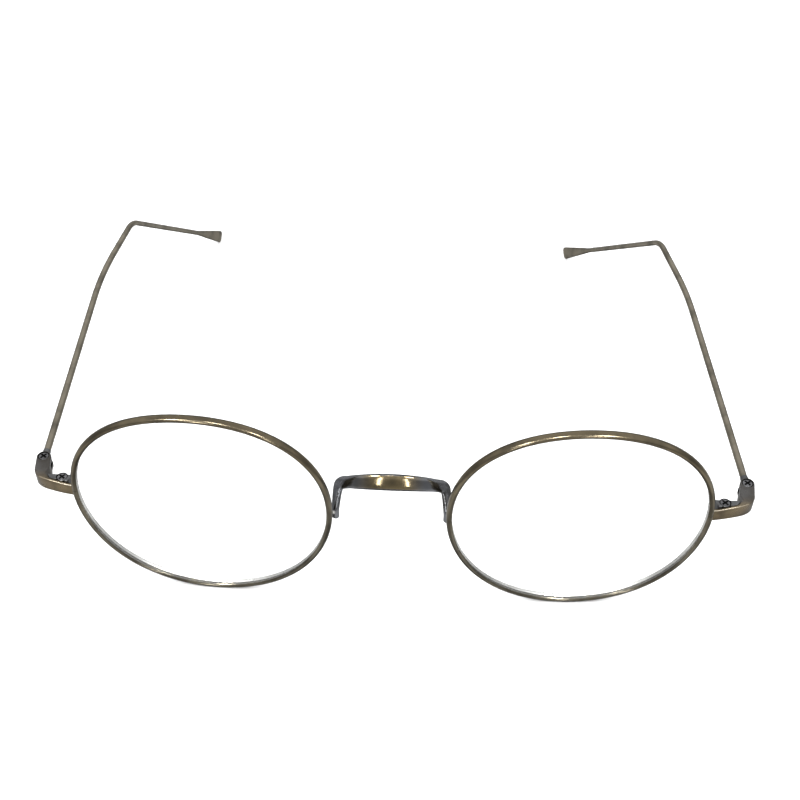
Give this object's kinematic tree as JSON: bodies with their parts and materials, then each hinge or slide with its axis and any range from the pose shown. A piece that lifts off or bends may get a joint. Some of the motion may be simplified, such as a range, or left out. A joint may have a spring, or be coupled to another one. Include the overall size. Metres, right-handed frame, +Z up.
{
  "type": "eyeglasses frame",
  "caption": "Round wire eyeglasses frame with a saddle bridge, screwed closing blocks, clear lenses and folding temples with flat paddle tips.",
  "frame": {"origin": "centre of the footprint on the surface that the open spectacles stand on", "axes": "+Z up from that surface, +Y from the lenses towards the temple tips, +X towards the right-hand temple (node names ending in right); the spectacles stand on the two rims and the two temple tips"},
  "size_m": [0.134, 0.1378, 0.0445],
  "materials": {
    "antique_gilt": "aged gilt metal, satin",
    "polished_gilt": "aged gilt metal, worn bright",
    "gunmetal": "dark satin",
    "screw_steel": "turned steel",
    "clear_lens": "clear, polished"
  },
  "bodies": {
    "front": {"bridge": "polished_gilt", "rim_left": "antique_gilt", "lens_left": "clear_lens", "endpiece_left": "antique_gilt", "closing_block_upper_left": "gunmetal", "closing_block_lower_left": "gunmetal", "closing_screw_left": "screw_steel", "hinge_screw_left": "screw_steel", "rim_right": "antique_gilt", "lens_right": "clear_lens", "endpiece_right": "antique_gilt", "closing_block_upper_right": "gunmetal", "closing_block_lower_right": "gunmetal", "closing_screw_right": "screw_steel", "hinge_screw_right": "screw_steel"},
    "temple_left": {"temple_left": "antique_gilt", "temple_hinge_left": "gunmetal", "hinge_washer_upper_left": "screw_steel", "hinge_washer_lower_left": "screw_steel"},
    "temple_right": {"temple_right": "antique_gilt", "temple_hinge_right": "gunmetal", "hinge_washer_upper_right": "screw_steel", "hinge_washer_lower_right": "screw_steel"}
  },
  "joints": [
    {"name": "temple_left_hinge", "type": "hinge", "parent": "front", "child": "temple_left", "pos_m": [-0.06279, -0.05833, 0.02516], "axis": [0, 0.0808, -0.9967], "range_deg": [0, 88]},
    {"name": "temple_right_hinge", "type": "hinge", "parent": "front", "child": "temple_right", "pos_m": [0.0658, -0.05833, 0.02516], "axis": [0, -0.0808, 0.9967], "range_deg": [-6.4, 75]}
  ]
}
